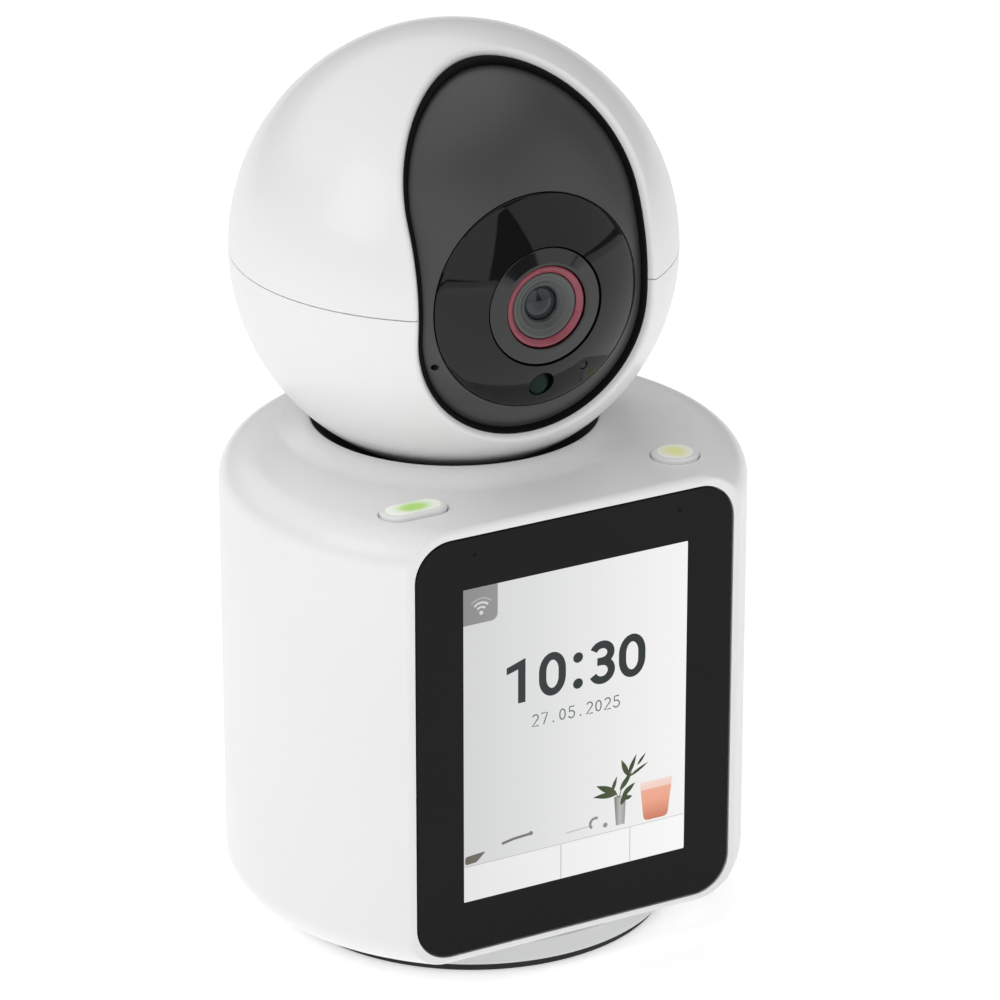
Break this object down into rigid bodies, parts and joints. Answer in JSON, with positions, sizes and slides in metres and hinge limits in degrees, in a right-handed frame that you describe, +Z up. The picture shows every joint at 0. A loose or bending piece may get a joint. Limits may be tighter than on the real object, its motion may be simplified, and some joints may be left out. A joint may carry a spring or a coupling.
{
  "type": "smart display",
  "caption": "Table-top smart display: a D-shaped housing with an upright touch screen and two buttons carries a ball camera that pans and tilts.",
  "frame": {"origin": "on the surface that the display stands on, under the middle of its box", "axes": "+Z up, the screen faces -Y, +X is to the viewer's right"},
  "size_m": [0.0906, 0.0808, 0.157],
  "materials": {
    "white_plastic": "semi-gloss moulded",
    "grey_plastic": "satin moulded",
    "rubber": "matte",
    "black_glass": "polished, tinted",
    "screen": "lit picture",
    "black_plastic": "satin",
    "chip": "matte",
    "circuit_board": "lacquered",
    "steel": "satin",
    "nylon": "natural",
    "green_light": "lit",
    "yellow_light": "lit",
    "red_plastic": "gloss",
    "optic_glass": "coated lens",
    "led": "clear"
  },
  "bodies": {
    "body": {"main_housing": "white_plastic", "base_cover": "grey_plastic", "foot_ring": "rubber", "cover_glass": "black_glass", "display_panel": "screen", "display_frame": "black_plastic", "main_board": "circuit_board", "processor": "chip", "memory_chip": "chip", "wifi_module": "steel", "port_board": "circuit_board", "usb_port": "steel", "speaker": "black_plastic", "button_board": "circuit_board", "call_button_switch": "black_plastic", "lamp_button_switch": "black_plastic", "ball_seat": "black_plastic", "pan_bearing": "nylon", "pan_motor": "steel", "motor_bracket": "nylon", "base_screw_1": "steel", "base_screw_2": "steel", "base_screw_3": "steel", "base_screw_4": "steel"},
    "head": {"upper_head_shell": "white_plastic", "lower_head_shell": "white_plastic", "opening_liner": "black_plastic", "left_pivot_pin": "steel", "tilt_fixed_gear": "nylon", "pan_gear": "nylon", "hub_nut": "nylon"},
    "camera": {"camera_ball": "black_plastic", "lens_window": "black_glass", "lens_hood": "black_plastic", "lens_ring": "red_plastic", "lens_barrel": "black_plastic", "lens_glass": "optic_glass", "light_sensor": "optic_glass", "status_led": "led", "sensor_board": "circuit_board", "camera_bracket": "black_plastic", "ir_lamp_board": "circuit_board", "tilt_motor": "steel"},
    "pan_pinion": {"pan_pinion": "nylon"},
    "tilt_pinion": {"tilt_pinion": "nylon"},
    "call_button": {"call_button": "green_light"},
    "lamp_button": {"lamp_button": "yellow_light"},
    "reset_button": {"reset_button": "grey_plastic"}
  },
  "joints": [
    {"name": "head_pan", "type": "hinge", "parent": "body", "child": "head", "pos_m": [0, 0.00205, 0.078], "axis": [0, 0, 1], "range_deg": [-175, 175]},
    {"name": "camera_tilt", "type": "hinge", "parent": "head", "child": "camera", "pos_m": [0, 0.00205, 0.11864], "axis": [-0.999, 0.0454, 0], "range_deg": [-15, 55]},
    {"name": "pan_pinion_spin", "type": "hinge", "parent": "body", "child": "pan_pinion", "pos_m": [0, 0.02125, 0.0685], "axis": [0, 0, 1], "range_deg": [-525, 525]},
    {"name": "tilt_pinion_spin", "type": "hinge", "parent": "camera", "child": "tilt_pinion", "pos_m": [0.00065, 0.01644, 0.11864], "axis": [-0.999, 0.0454, 0], "range_deg": [-30, 110]},
    {"name": "call_button_press", "type": "slide", "parent": "body", "child": "call_button", "axis": [0, 0, -1], "range_m": [0, 0.0006], "stiffness_N_per_m": 400, "springref_m": -0.0012},
    {"name": "lamp_button_press", "type": "slide", "parent": "body", "child": "lamp_button", "axis": [0, 0, -1], "range_m": [0, 0.0006], "stiffness_N_per_m": 400, "springref_m": -0.0012},
    {"name": "reset_button_press", "type": "slide", "parent": "body", "child": "reset_button", "axis": [0, -1, 0], "range_m": [0, 0.0005], "stiffness_N_per_m": 400, "springref_m": -0.0012}
  ],
  "couplings": [
    {"joint": "pan_pinion_spin", "follows": "head_pan", "ratio": -3},
    {"joint": "tilt_pinion_spin", "follows": "camera_tilt", "ratio": 2}
  ]
}
